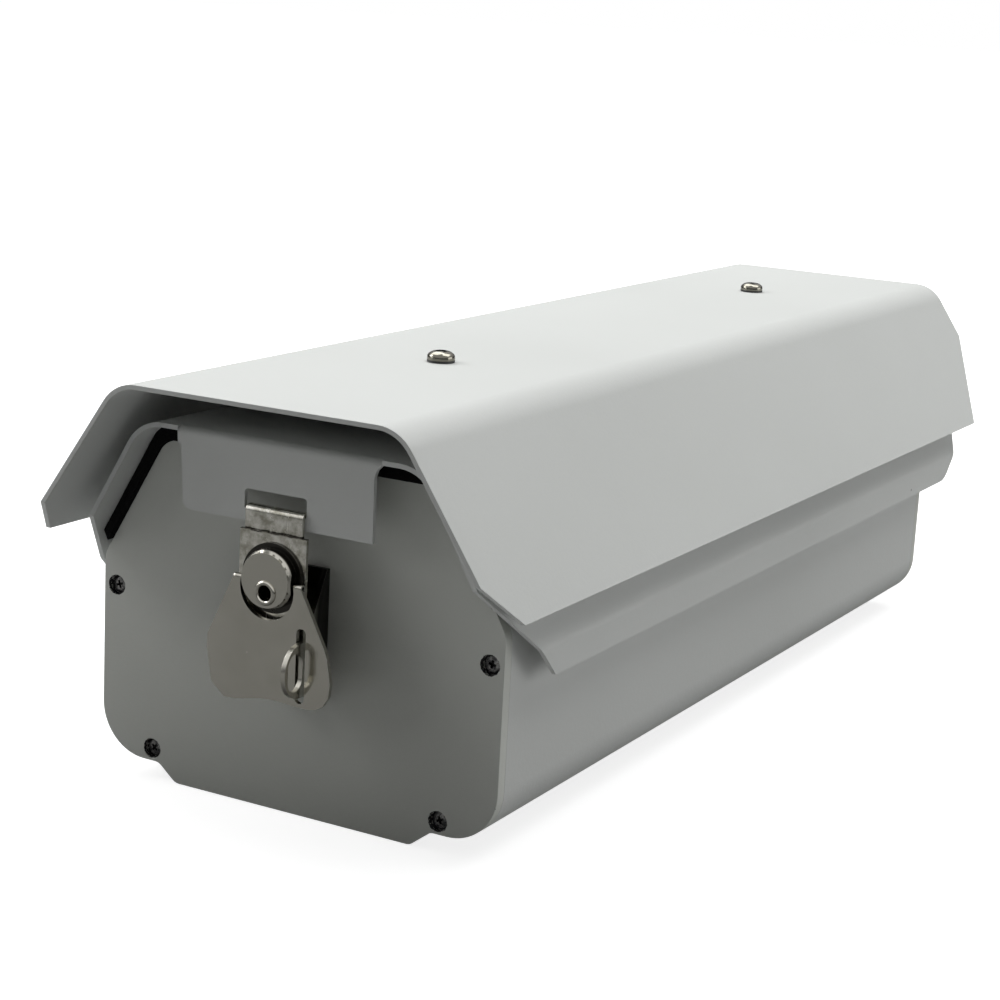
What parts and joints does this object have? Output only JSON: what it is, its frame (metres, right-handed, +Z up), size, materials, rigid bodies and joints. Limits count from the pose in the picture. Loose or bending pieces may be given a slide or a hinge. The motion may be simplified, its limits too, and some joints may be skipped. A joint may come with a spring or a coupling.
{
  "type": "security camera housing",
  "caption": "Weatherproof camera housing: extruded tray, hinged lid with sun shield, glass window, rear draw latch with padlock ear, base bolt holes.",
  "frame": {"origin": "middle of the bracket bolt holes, on the underside of the plinth", "axes": "+Y towards the window end, +Z up, +X to the right when seen from the latch end"},
  "size_m": [0.1768, 0.4645, 0.1393],
  "materials": {
    "paint": "fine textured powder coat, light grey",
    "dark_screw": "black oxide",
    "glass": "clear flat pane",
    "rubber": "smooth black",
    "foam": "closed-cell black foam",
    "black_steel": "satin black",
    "zinc": "zinc plated",
    "stainless": "pressed stainless steel",
    "aluminium": "mill finish",
    "black_plastic": "matt black"
  },
  "bodies": {
    "housing": {"body_tray": "paint", "rear_plate": "paint", "front_plate": "paint", "rear_plate_screws": "dark_screw", "front_plate_screws": "dark_screw", "window_glass": "glass", "window_gasket": "rubber", "window_retainer": "black_steel", "retainer_screws": "zinc", "front_seal": "foam", "hinge_bracket_left": "zinc", "hinge_bracket_right": "zinc", "latch_base": "stainless", "latch_link": "stainless", "latch_cam": "stainless", "latch_rivet": "stainless", "latch_screws": "stainless", "wing_pins": "stainless", "mount_plate": "zinc", "camera_rail": "aluminium", "rail_screws": "zinc", "camera_screw": "black_plastic"},
    "lid": {"lid": "paint", "lid_rear_seal": "foam", "lid_side_seals": "foam", "sun_shield": "paint", "shield_spacers": "zinc", "shield_washers": "rubber", "shield_screws": "stainless", "shield_nuts": "zinc", "hinge_stud_left": "zinc", "hinge_stud_right": "zinc"},
    "latch_wing": {"latch_wing": "stainless"}
  },
  "joints": [
    {"name": "lid_hinge", "type": "hinge", "parent": "housing", "child": "lid", "pos_m": [0, 0.1915, 0.0631], "axis": [-1, 0, 0], "range_deg": [0, 65]},
    {"name": "wing_fold", "type": "hinge", "parent": "housing", "child": "latch_wing", "pos_m": [0.0018, -0.2042, 0.0798], "axis": [-1, 0, 0], "range_deg": [0, 90]}
  ]
}
